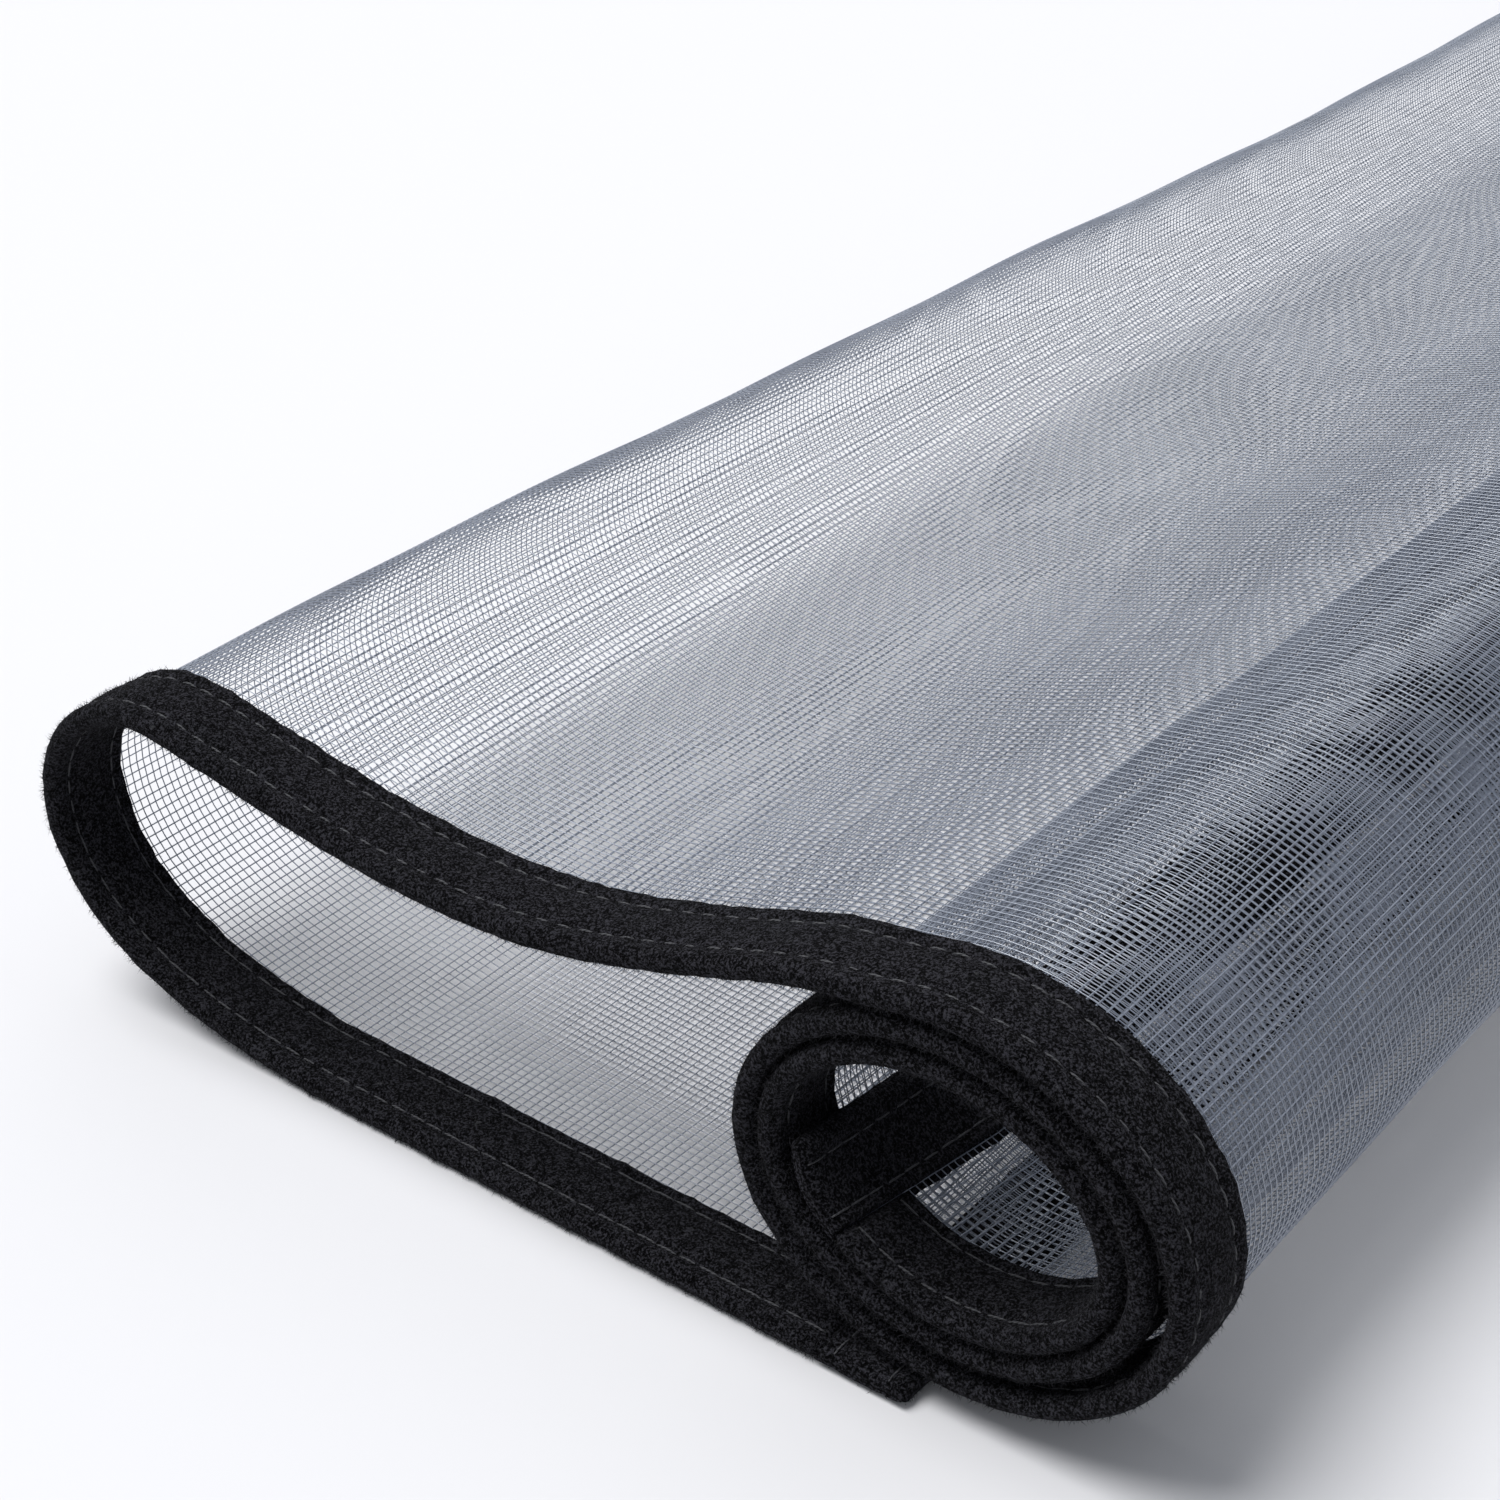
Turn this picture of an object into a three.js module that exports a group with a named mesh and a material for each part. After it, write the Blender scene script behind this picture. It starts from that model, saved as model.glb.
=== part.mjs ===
// A rectangular insect-mesh panel, bound on its four edges with folded loop tape and sewn with two
// rows of lockstitch on every edge. It lies doubled over and loosely rolled up: a flat strip on the
// floor, an open loop, a sagging top sheet, and then a roll. Millimetres, +Z up, roll axis along +Y.
// The whole bent shape is one outline in the XZ plane. A point of the panel is written as
// (s, h, v): s runs along the outline from the outer end, h is the height above the middle of the
// mesh, outwards, and v runs along the roll axis from the front edge.
import * as THREE from 'three';

// Panel and binding
const panelLength = 1000;      // along the roll axis, over the binding
const tapeWidth = 15.5;        // outer leaf of the folded tape
const leafStep = 0.8;          // the inner leaf is this much narrower
const leafThickness = 1.3;
const meshThickness = 0.4;
const clearance = 0.3;         // between pieces that touch

// Stitching
const foldRow = 3.6;           // from the folded edge to the outer row
const meshRow = 12.4;           // from the folded edge to the inner row
const threadWidth = 0.6;
const threadHeight = 0.5;

// Outline: strip on the floor, loop and top sheet
const floorRun = 112;
const loopRise = 55.4;         // from the strip's middle to the highest point of the loop
const loopReach = 56;          // from the end of the strip's straight run to the far side of the loop
const topRun = 170.4;          // from the far side of the loop to the axis of the roll

// Outline: roll
const rollWidth = 72.4;        // across the first turn, middle to middle of the sheet
const rollHeight = 60.8;
const turns = 2.75;
const turnGap = 0.7;           // least air between one turn's binding and the next
const looseTurn = 0.75;        // more air round the second turn, which is rolled loosely
const innerLean = 0.75;        // the inner turns lie this much to the loop's side
const looseFrom = 270;         // degrees from the first turn's top where it begins to be loose
const looseOver = 180;         // and degrees over which it becomes so
const freeEndCurl = 1.2;       // the free end curls in by this much more
const freeEndTurn = 120;       // over these last degrees
const restGap = 0.6;           // between the strip's end and the roll that lies on it
const rollDrift = 2.5;         // the roll has slipped this far along its axis
const anglePerFacet = 20;

// Slack: halfway between the stiff front and back tapes the open loop has settled
const middleSquash = 0.16;     // share of its height that it has lost there
const middlePull = 8;          // and how far its far side has drawn in
const slackSteps = 7;

// Away from the front and back tapes the innermost turn has sprung open and unwound a little
const openedAngle = 20;        // at the sheet's inner end
const openedGrowth = 0.04;     // share by which it is wider there
const openedRun = 170;         // length of sheet over which that comes in
const openedDepth = 60;        // distance from the front or back edge over which it comes in

// The mesh and the end tape turn together, so both have these steps in from an edge.
const openedKnots = [openedDepth / 4, openedDepth / 2, (3 * openedDepth) / 4, openedDepth];
const shortestEdge = 0.05;     // a bend closer than this to a section's corner is left to the corner

const slot = meshThickness / 2 + clearance;
const half = slot + leafThickness;
const turnPitch = 2 * half + turnGap;
const meshInset = leafThickness + clearance;
const degrees = Math.PI / 180;

const smooth = (x) => {
  const t = THREE.MathUtils.clamp(x, 0, 1);
  return t * t * (3 - 2 * t);
};

// ---- The outline ------------------------------------------------------------------------------

// The first turn clears the strip's end below it, and its top is level with the loop's or above.
const axisX = -floorRun - loopReach + topRun;
const axisZ = 3 * half + restGap + rollHeight / 2 - turnPitch / 2;

// A flattened spiral, from the top and turning towards +X and down.
function rollPoint(angle) {
  const inner = smooth((angle - looseFrom) / looseOver);
  const lean = innerLean * inner;
  const curl = freeEndCurl * smooth(1 - (turns * 360 - angle) / freeEndTurn);
  const inwards = (turnPitch * angle) / 360 + looseTurn * inner + curl;
  const across = rollWidth / 2 - inwards;
  const up = rollHeight / 2 - inwards;
  return new THREE.Vector2(
    axisX - lean + across * Math.sin(angle * degrees),
    axisZ + lean / 2 + up * Math.cos(angle * degrees),
  );
}

// Loop points as shares of its reach and rise, from the strip to the far side and over the top.
const loopShape = [
  [0.25, 0.02], [0.5, 0.07], [0.72, 0.155], [0.885, 0.28], [0.985, 0.455], [0.995, 0.645],
  [0.91, 0.82], [0.77, 0.935], [0.6, 0.98],
];
// Top sheet points: share of the run from the loop's far side to the axis, and height. The first
// go down into the valley, as shares of the loop's rise; the last climb onto the roll, as shares
// of the height of its crest.
const valleyShape = [[0.246, 0.93], [0.375, 0.868], [0.504, 0.845]];
const climbShape = [[0.621, 0.773], [0.738, 0.846], [0.855, 0.943]];

function outlinePoints() {
  const start = half;
  const points = [new THREE.Vector2(0, start), new THREE.Vector2(-floorRun / 2, start)];
  const bend = [new THREE.Vector3(-floorRun / 2, start, 0), new THREE.Vector3(-floorRun, start, 0)];
  for (const [reach, rise] of loopShape) {
    bend.push(new THREE.Vector3(-floorRun - loopReach * reach, start + loopRise * rise, 0));
  }
  const farX = -floorRun - loopReach;
  for (const [run, rise] of valleyShape) {
    bend.push(new THREE.Vector3(farX + topRun * run, start + loopRise * rise, 0));
  }
  const crest = axisZ + rollHeight / 2;
  for (const [run, rise] of climbShape) {
    bend.push(new THREE.Vector3(farX + topRun * run, crest * rise, 0));
  }
  for (const angle of [-anglePerFacet, 0]) {
    const p = rollPoint(angle);
    bend.push(new THREE.Vector3(p.x, p.y, 0));
  }
  const curve = new THREE.CatmullRomCurve3(bend, false, 'centripetal');
  // Three steps to each tight stretch of the loop, two to each stretch of the top sheet.
  const spans = bend.length - 1;
  for (let span = 1; span < spans - 1; span += 1) {
    const steps = span > loopShape.length ? 1 : 2;
    for (let step = 0; step < steps; step += 1) {
      const p = curve.getPoint((span + step / steps) / spans);
      points.push(new THREE.Vector2(p.x, p.y));
    }
  }
  for (let angle = -anglePerFacet; angle < turns * 360 + anglePerFacet; angle += anglePerFacet) {
    points.push(rollPoint(Math.min(angle, turns * 360)));
  }
  return points;
}

// Stations: place, distance along the sheet, outward direction with its mitre, and slip along Y.
function makeStations() {
  const points = outlinePoints();
  const along = [];
  for (let i = 0; i < points.length - 1; i += 1) {
    along.push(points[i + 1].clone().sub(points[i]).normalize());
  }
  let s = 0;
  const stations = points.map((p, i) => {
    if (i > 0) s += p.distanceTo(points[i - 1]);
    const before = along[Math.max(i - 1, 0)];
    const after = along[Math.min(i, along.length - 1)];
    const middle = before.clone().add(after).normalize();
    const outward = new THREE.Vector2(-middle.y, middle.x);
    outward.divideScalar(middle.dot(after));
    return { s, p, outward };
  });
  // The slip along the axis comes in over one roll's width, up to where the sheet meets the roll.
  // The slack is greatest at the top of the loop and fades to the strip and to the valley.
  const rollStart = stations.find((q) => q.p.x > axisX - rollWidth / 4 && q.p.y > axisZ).s;
  const crestStart = stations.find((q) => q.p.x > -floorRun - loopReach / 2 && q.p.y > loopRise / 2).s;
  const valleyStart = stations.find((q) => q.s > crestStart && q.p.x > -floorRun + loopReach / 2).s;
  for (const q of stations) {
    q.slip = rollDrift * smooth(1 + (q.s - rollStart) / rollWidth);
    const rising = smooth((q.s - floorRun) / (crestStart - floorRun));
    q.slack = rising * (1 - smooth((q.s - crestStart) / (valleyStart - crestStart)));
  }
  return stations;
}

const stations = makeStations();
const sheetLength = stations.at(-1).s;
const minX = Math.min(...stations.map((q) => q.p.x)) - half;
const maxX = Math.max(...stations.map((q) => q.p.x)) + half;
const middleX = (minX + maxX) / 2;
const middleY = (panelLength + rollDrift) / 2;

// The innermost turn is turned back about this point, as if the flattened roll were round.
const rollCentre = new THREE.Vector2(axisX - innerLean, axisZ);
const rounding = new THREE.Vector2(1, rollWidth / rollHeight);
const origin = new THREE.Vector2();

function openTurn(p, s, v) {
  const fromEdge = Math.min(v, panelLength - v);
  const open = smooth((s - sheetLength) / openedRun + 1) * THREE.MathUtils.clamp(fromEdge / openedDepth, 0, 1);
  p.sub(rollCentre).multiply(rounding).rotateAround(origin, openedAngle * degrees * open);
  return p.divide(rounding).multiplyScalar(1 + openedGrowth * open).add(rollCentre);
}

// The point (s, h, v) of the bent panel, between two stations.
function place(s, h, v) {
  let i = stations.findIndex((q) => q.s >= s);
  i = i < 1 ? 1 : i;
  const a = stations[i - 1];
  const b = stations[i];
  const t = (s - a.s) / (b.s - a.s);
  const from = a.p.clone().addScaledVector(a.outward, h);
  const to = b.p.clone().addScaledVector(b.outward, h);
  const p = openTurn(from.lerp(to, t), s, v);
  const slip = THREE.MathUtils.lerp(a.slip, b.slip, t);
  const slack = THREE.MathUtils.lerp(a.slack, b.slack, t) * Math.sin((v / panelLength) * Math.PI) ** 2;
  return [
    p.x - middleX + middlePull * slack,
    slip + v - middleY,
    p.y * (1 - middleSquash * slack),
  ];
}

// ---- Closed solids from rings ------------------------------------------------------------------

// Joins equal rings of points into a closed body, closed at both ends with `cap`, triangles given
// as numbers of the points in a ring.
function solidFromRings(rings, cap) {
  const count = rings[0].length;
  const index = [];
  for (let r = 0; r < rings.length - 1; r += 1) {
    for (let k = 0; k < count; k += 1) {
      const a = r * count + k;
      const b = r * count + ((k + 1) % count);
      index.push(a, b, b + count, a, b + count, a + count);
    }
  }
  const last = (rings.length - 1) * count;
  for (const [a, b, c] of cap) {
    index.push(c, b, a, last + a, last + b, last + c);
  }
  const positions = new Float32Array(rings.flat(2));
  if (signedVolume(positions, index) < 0) index.reverse();
  const geometry = new THREE.BufferGeometry();
  geometry.setAttribute('position', new THREE.BufferAttribute(positions, 3));
  geometry.setIndex(index);
  geometry.computeVertexNormals();
  return geometry;
}

function signedVolume(positions, index) {
  const [a, b, c] = [new THREE.Vector3(), new THREE.Vector3(), new THREE.Vector3()];
  let sum = 0;
  for (let i = 0; i < index.length; i += 3) {
    a.fromArray(positions, index[i] * 3);
    b.fromArray(positions, index[i + 1] * 3);
    c.fromArray(positions, index[i + 2] * 3);
    sum += a.dot(b.cross(c));
  }
  return sum;
}

// Sweeps a section of (v, h) points along the sheet from s0 to s1. `edge` gives v's start and
// direction: the front edge counts up from 0, the back edge counts down from the panel's length.
function alongSheet(section, s0, s1, edge, cap = THREE.ShapeUtils.triangulateShape(section, [])) {
  const inside = stations.map((q) => q.s).filter((s) => s > s0 + shortestEdge && s < s1 - shortestEdge);
  const rings = [s0, ...inside, s1].map((s) => (
    section.map((q) => place(s, q.y, edge.start + edge.sign * q.x))
  ));
  return solidFromRings(rings, cap);
}

// Runs a section of (distance from the end, h) points along the roll axis from v0 to v1. Points
// are added where the section crosses a station, so that it bends with the sheet.
function acrossSheet(section, v0, v1, end) {
  const bent = [];
  section.forEach((q, i) => {
    const next = section[(i + 1) % section.length];
    bent.push(q);
    const cuts = stations
      .map((station) => (station.s - end.start) * end.sign)
      .filter((d) => (d - q.x) * (next.x - d) > 0)
      .filter((d) => Math.min(Math.abs(d - q.x), Math.abs(next.x - d)) > shortestEdge)
      .sort((a, b) => (next.x > q.x ? a - b : b - a));
    for (const d of cuts) {
      const t = (d - q.x) / (next.x - q.x);
      bent.push(q.clone().lerp(next, t));
    }
  });
  const knots = [v0, ...openedKnots, ...openedKnots.map((v) => panelLength - v).reverse(), v1];
  const rings = knots.map((v) => bent.map((q) => place(end.start + end.sign * q.x, q.y, v)));
  return solidFromRings(rings, THREE.ShapeUtils.triangulateShape(bent, []));
}

// ---- Sections ----------------------------------------------------------------------------------

// The folded tape: two leaves with the mesh's edge between them, and a groove for each thread.
function tapeSection() {
  const grooveDepth = threadHeight + clearance;
  const grooveHalf = threadWidth / 2 + clearance;
  const groove = (row, side) => [
    [row - grooveHalf, side * half], [row - grooveHalf, side * (half - grooveDepth)],
    [row + grooveHalf, side * (half - grooveDepth)], [row + grooveHalf, side * half],
  ];
  const innerWidth = tapeWidth - leafStep;
  const points = [
    [0, -half], ...groove(foldRow, -1), ...groove(meshRow, -1), [innerWidth, -half],
    [innerWidth, -slot], [leafThickness, -slot], [leafThickness, slot], [tapeWidth, slot],
    [tapeWidth, half], ...groove(meshRow, 1).reverse(), ...groove(foldRow, 1).reverse(), [0, half],
  ];
  return points.map(([x, y]) => new THREE.Vector2(x, y));
}

function threadSection(row, side) {
  const [low, high] = [half - threadHeight, half].map((h) => side * h).sort((a, b) => a - b);
  const [near, far] = [row - threadWidth / 2, row + threadWidth / 2];
  return [[near, low], [far, low], [far, high], [near, high]].map(([x, y]) => new THREE.Vector2(x, y));
}

// The mesh, in steps along the axis so that it can hang slack between the tapes.
function meshSection() {
  const h = meshThickness / 2;
  const middle = panelLength - 2 * openedDepth;
  const near = [meshInset, ...openedKnots.slice(0, -1)];
  const between = Array.from({ length: slackSteps + 1 }, (_, i) => openedDepth + (middle * i) / slackSteps);
  const steps = [...near, ...between, ...near.map((v) => panelLength - v).reverse()];
  const below = steps.map((v) => new THREE.Vector2(v, -h));
  const above = steps.map((v) => new THREE.Vector2(v, h)).reverse();
  return [...below, ...above];
}

// The mesh's long thin ends are closed step by step, since they are not straight once it is bent.
function meshCap(count) {
  const cap = [];
  for (let k = 0; k < count / 2 - 1; k += 1) {
    cap.push([k, k + 1, count - 2 - k], [k, count - 2 - k, count - 1 - k]);
  }
  return cap;
}

// ---- The pieces --------------------------------------------------------------------------------

const fleece = new THREE.MeshStandardMaterial({ color: 0x151518, roughness: 0.95 });
const coatedYarn = new THREE.MeshStandardMaterial({ color: 0x4b5057, roughness: 0.55 });
const sewingThread = new THREE.MeshStandardMaterial({ color: 0x3a3b40, roughness: 0.7 });

const panel = new THREE.Group();

function add(name, geometry, material) {
  const mesh = new THREE.Mesh(geometry, material);
  mesh.name = name;
  panel.add(mesh);
}

const front = { start: 0, sign: 1 };
const back = { start: panelLength, sign: -1 };
const outerEnd = { start: 0, sign: 1 };
const innerEnd = { start: sheetLength, sign: -1 };

const meshOutline = meshSection();
const meshEnd = sheetLength - meshInset;
const mesh = alongSheet(meshOutline, meshInset, meshEnd, front, meshCap(meshOutline.length));
add('mesh_panel', mesh, coatedYarn);

// The two end tapes run right across; the front and back tapes butt against them.
const butt = tapeWidth + clearance;
const longEdges = [['front', front], ['back', back]];
const endEdges = [['outer_end', outerEnd], ['inner_end', innerEnd]];
for (const [name, edge] of longEdges) {
  add(`${name}_tape`, alongSheet(tapeSection(), butt, sheetLength - butt, edge), fleece);
}
for (const [name, end] of endEdges) {
  add(`${name}_tape`, acrossSheet(tapeSection(), 0, panelLength, end), fleece);
}

// Lockstitch: a needle thread on the outer face and a bobbin thread on the inner face of each row.
const rows = [['fold', foldRow], ['mesh', meshRow]];
const faces = [['needle', 1], ['bobbin', -1]];
for (const [rowName, row] of rows) {
  for (const [faceName, side] of faces) {
    for (const [name, edge] of longEdges) {
      const thread = alongSheet(threadSection(row, side), butt, sheetLength - butt, edge);
      add(`${name}_${rowName}_row_${faceName}_thread`, thread, sewingThread);
    }
    for (const [name, end] of endEdges) {
      const thread = acrossSheet(threadSection(row, side), 0, panelLength, end);
      add(`${name}_${rowName}_row_${faceName}_thread`, thread, sewingThread);
    }
  }
}

export default panel;
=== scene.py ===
# %% [markdown]
# # An insect-mesh panel bound with loop tape
# This lesson dresses a plain CAD part as a real object: a sheet of fine coated mesh, one metre
# wide, with a folded fleece tape sewn round its four edges. It lies doubled over on a pale floor
# and is loosely rolled up at one side. The CAD part is the fixed frame. It gives the place and the
# size of every piece, and Blender adds the threads, the pile, the stitches and the finishes.
# The first cell loads the frame, with helpers that read a CAD part's box, hang a piece on a body and hide
# CAD nodes.

# %% Load the frame
import math

import bpy
import numpy as np
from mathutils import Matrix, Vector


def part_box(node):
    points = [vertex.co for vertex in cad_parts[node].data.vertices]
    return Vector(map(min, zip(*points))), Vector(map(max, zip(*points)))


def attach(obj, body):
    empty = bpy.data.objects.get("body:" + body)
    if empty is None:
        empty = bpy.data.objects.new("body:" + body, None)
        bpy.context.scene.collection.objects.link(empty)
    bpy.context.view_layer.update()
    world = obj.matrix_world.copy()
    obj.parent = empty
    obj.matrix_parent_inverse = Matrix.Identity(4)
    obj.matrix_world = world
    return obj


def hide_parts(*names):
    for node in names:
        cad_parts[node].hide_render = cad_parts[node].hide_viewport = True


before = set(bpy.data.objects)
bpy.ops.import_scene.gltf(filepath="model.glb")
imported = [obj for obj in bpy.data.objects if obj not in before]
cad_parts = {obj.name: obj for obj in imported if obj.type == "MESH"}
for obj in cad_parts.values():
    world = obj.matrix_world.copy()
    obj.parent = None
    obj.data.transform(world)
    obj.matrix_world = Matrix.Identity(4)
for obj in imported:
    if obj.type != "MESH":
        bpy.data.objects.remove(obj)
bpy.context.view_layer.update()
MM = 0.001  # every size below is in millimetres, and Blender's unit is the metre
rng = np.random.default_rng(7)

# %% [markdown]
# ## The sizes that matter
# Fabric is bought by a few numbers: the cut, the tape's width and thickness, the mesh count. The
# cut across the roll's axis isn't listed, because it follows from the shape that the sheet lies in.
# The first corner of the strip on the floor is read from the CAD piece that binds the outer end.

# %% Sizes
low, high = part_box("outer_end_tape")
ORIGIN = np.array([high[0], low[1], 0.0]) / MM   # the strip's front corner on the floor
PANEL = (high[1] - low[1]) / MM                  # length along the roll's axis, over the binding
TAPE = 15.5                                      # outer leaf of the folded tape
LEAF_STEP = 0.8                                  # the inner leaf is this much narrower
LEAF = 1.3                                       # thickness of one leaf
SLOT = 0.5                                       # half of the room between the leaves
HALF = SLOT + LEAF                               # from the middle of the mesh to the tape's face
ROWS = {"fold": 3.6, "mesh": 12.4}               # stitch rows, measured from the folded edge
LAP = 0.7                                        # the long tapes lap over the end tapes by this
BUTT = TAPE - LAP                                # so each begins this far from the sheet's end
print(f"panel {PANEL:.1f} mm long, tape {TAPE} mm wide")

# %% [markdown]
# ## The bent outline
# Seen from the front, the whole sheet is one line: a strip on the floor, an open loop, a sagging
# top sheet, and a roll that turns inwards. Drawing it by hand as a Blender curve would work, but
# a formula keeps it close to the CAD part. The bends are a smooth curve through a few points, each
# given as a share of the loop's reach and rise. The roll is a spiral that shrinks turn by turn.

# %% Outline sizes
FLOOR_RUN, LOOP_REACH, LOOP_RISE, TOP_RUN = 112.0, 56.0, 55.4, 170.4
ROLL_WIDTH, ROLL_HEIGHT, TURNS = 72.4, 60.8, 2.75
TURN_PITCH = 2 * HALF + 0.7                      # two tapes' thickness and the air between turns
LOOSE_TURN, INNER_LEAN, END_CURL = 0.75, 0.75, 1.2   # more air, a lean and a last curl inside
LOOSE_FROM, LOOSE_OVER, CURL_OVER = 270, 180, 120    # degrees where and over which these come in
AXIS_X = -FLOOR_RUN - LOOP_REACH + TOP_RUN
AXIS_Z = 3 * HALF + 0.6 + ROLL_HEIGHT / 2 - TURN_PITCH / 2
LOOP = np.array([(0.25, 0.02), (0.5, 0.07), (0.72, 0.155), (0.885, 0.28), (0.985, 0.455),
                 (0.995, 0.645), (0.91, 0.82), (0.77, 0.935), (0.6, 0.98)])
VALLEY = np.array([(0.246, 0.93), (0.375, 0.868), (0.504, 0.845)])
CLIMB = np.array([(0.621, 0.773), (0.738, 0.846), (0.855, 0.943)])


def smooth(x):
    """0 below 0, 1 above 1, and 3x squared minus 2x cubed between them."""
    t = np.clip(x, 0, 1)
    return t * t * (3 - 2 * t)


def roll_point(angle):
    """A flattened spiral: x is a width times the sine and z a height times the cosine of the angle
    from the top, and both shrink by one turn's pitch each turn, a little more in the inner turns."""
    inner = smooth((angle - LOOSE_FROM) / LOOSE_OVER)
    curl = END_CURL * smooth(1 - (TURNS * 360 - angle) / CURL_OVER)
    inwards = TURN_PITCH * angle / 360 + LOOSE_TURN * inner + curl
    turn = np.radians(angle)
    x = AXIS_X - INNER_LEAN * inner + (ROLL_WIDTH / 2 - inwards) * np.sin(turn)
    z = AXIS_Z + INNER_LEAN * inner / 2 + (ROLL_HEIGHT / 2 - inwards) * np.cos(turn)
    return np.stack([x, z], axis=-1)


def curve_through(points, steps):
    """Centripetal Catmull-Rom: each span is a cubic whose end slopes come from its neighbours,
    weighted by the square root of the spans' lengths. Returns the spans between inner points."""
    gap = np.linalg.norm(np.diff(points, axis=0), axis=1)[:, None] ** 0.5
    slope = np.diff(points, axis=0) / gap
    wide = (points[2:] - points[:-2]) / (gap[:-1] + gap[1:])
    tangent = slope[:-1] - wide + slope[1:]
    a, b, span = points[1:-2, None], points[2:-1, None], gap[1:-1, None]
    m, n = tangent[:-1, None] * span, tangent[1:, None] * span
    t = np.arange(steps)[None, :, None] / steps
    cubic = (a + m * t + (3 * (b - a) - 2 * m - n) * t**2 + (2 * (a - b) + m + n) * t**3)
    return cubic.reshape(-1, 2)


# %% [markdown]
# The four parts of the line are then put end to end. Small equal steps along it make every later
# question easy: a place, a direction or a bend at any distance is one look-up between two steps.

# %% Outline
def bent_outline():
    """The sheet's middle line as points (x, z), from the strip's end to the roll's inner end."""
    far = -FLOOR_RUN - LOOP_REACH
    crest = AXIS_Z + ROLL_HEIGHT / 2
    start = np.array([(-FLOOR_RUN / 2, HALF), (-FLOOR_RUN, HALF)])
    loop = np.stack([-FLOOR_RUN - LOOP_REACH * LOOP[:, 0], HALF + LOOP_RISE * LOOP[:, 1]], axis=1)
    valley = np.stack([far + TOP_RUN * VALLEY[:, 0], HALF + LOOP_RISE * VALLEY[:, 1]], axis=1)
    climb = np.stack([far + TOP_RUN * CLIMB[:, 0], crest * CLIMB[:, 1]], axis=1)
    onto_roll = roll_point(np.array([-20.0, 0.0]))
    bends = curve_through(np.concatenate([start, loop, valley, climb, onto_roll]), 24)
    strip = np.stack([np.linspace(0, -FLOOR_RUN, 113), np.full(113, HALF)], axis=1)[:-1]
    roll = roll_point(np.linspace(-20, TURNS * 360, 700))
    return np.concatenate([strip, bends, roll])


rough_line = bent_outline()
travelled = np.concatenate([[0], np.cumsum(np.linalg.norm(np.diff(rough_line, axis=0), axis=1))])
SHEET = travelled[-1]
LINE_S = np.linspace(0, SHEET, 1700)             # a station about every half millimetre
LINE = np.stack([np.interp(LINE_S, travelled, rough_line[:, k]) for k in (0, 1)], axis=1)
tangents = np.gradient(LINE, LINE_S, axis=0)
kernel = np.hanning(9) / np.hanning(9).sum()     # a short average takes out the joints' kinks
padded_tangents = np.pad(tangents, ((4, 4), (0, 0)), mode="edge")
tangents = np.stack([np.convolve(padded_tangents[:, k], kernel, "valid") for k in (0, 1)], axis=1)
tangents /= np.linalg.norm(tangents, axis=1, keepdims=True)
OUTWARD = np.stack([-tangents[:, 1], tangents[:, 0]], axis=1)
turning = np.unwrap(np.arctan2(tangents[:, 1], tangents[:, 0]))
BEND = np.abs(np.gradient(turning, LINE_S))      # curvature, in 1/mm
print(f"the sheet is {SHEET:.0f} mm long round its bends")

# %% [markdown]
# ## From flat cloth to the bent sheet
# Everything that follows is first laid out on the flat sheet, as a tailor would: s runs along the
# outline, v along the roll's axis, and h is the height above the mesh. One function then bends
# it all. Blender's Curve modifier could bend a flat mesh too, but it can't slip the roll along its
# axis or let the loop settle between the stiff tapes, and it hides the numbers.

# %% Bend the flat sheet
DRIFT, SQUASH, PULL = 2.5, 0.16, 8.0             # roll's slip, and the slack loop's sag and pull-in
OPENED_ANGLE, OPENED_GROWTH, OPENED_RUN = 20.0, 0.04, 170.0   # how the innermost turn has unwound
OPENED_DEPTH = 85.0                              # and how far in from an edge it does so fully
x_line, z_line = LINE.T
roll_start = LINE_S[np.argmax((x_line > AXIS_X - ROLL_WIDTH / 4) & (z_line > AXIS_Z))]
crest_start = LINE_S[np.argmax((x_line > -FLOOR_RUN - LOOP_REACH / 2) & (z_line > LOOP_RISE / 2))]
past_crest = (LINE_S > crest_start) & (x_line > -FLOOR_RUN + LOOP_REACH / 2)
valley_start = LINE_S[np.argmax(past_crest)]


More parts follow.
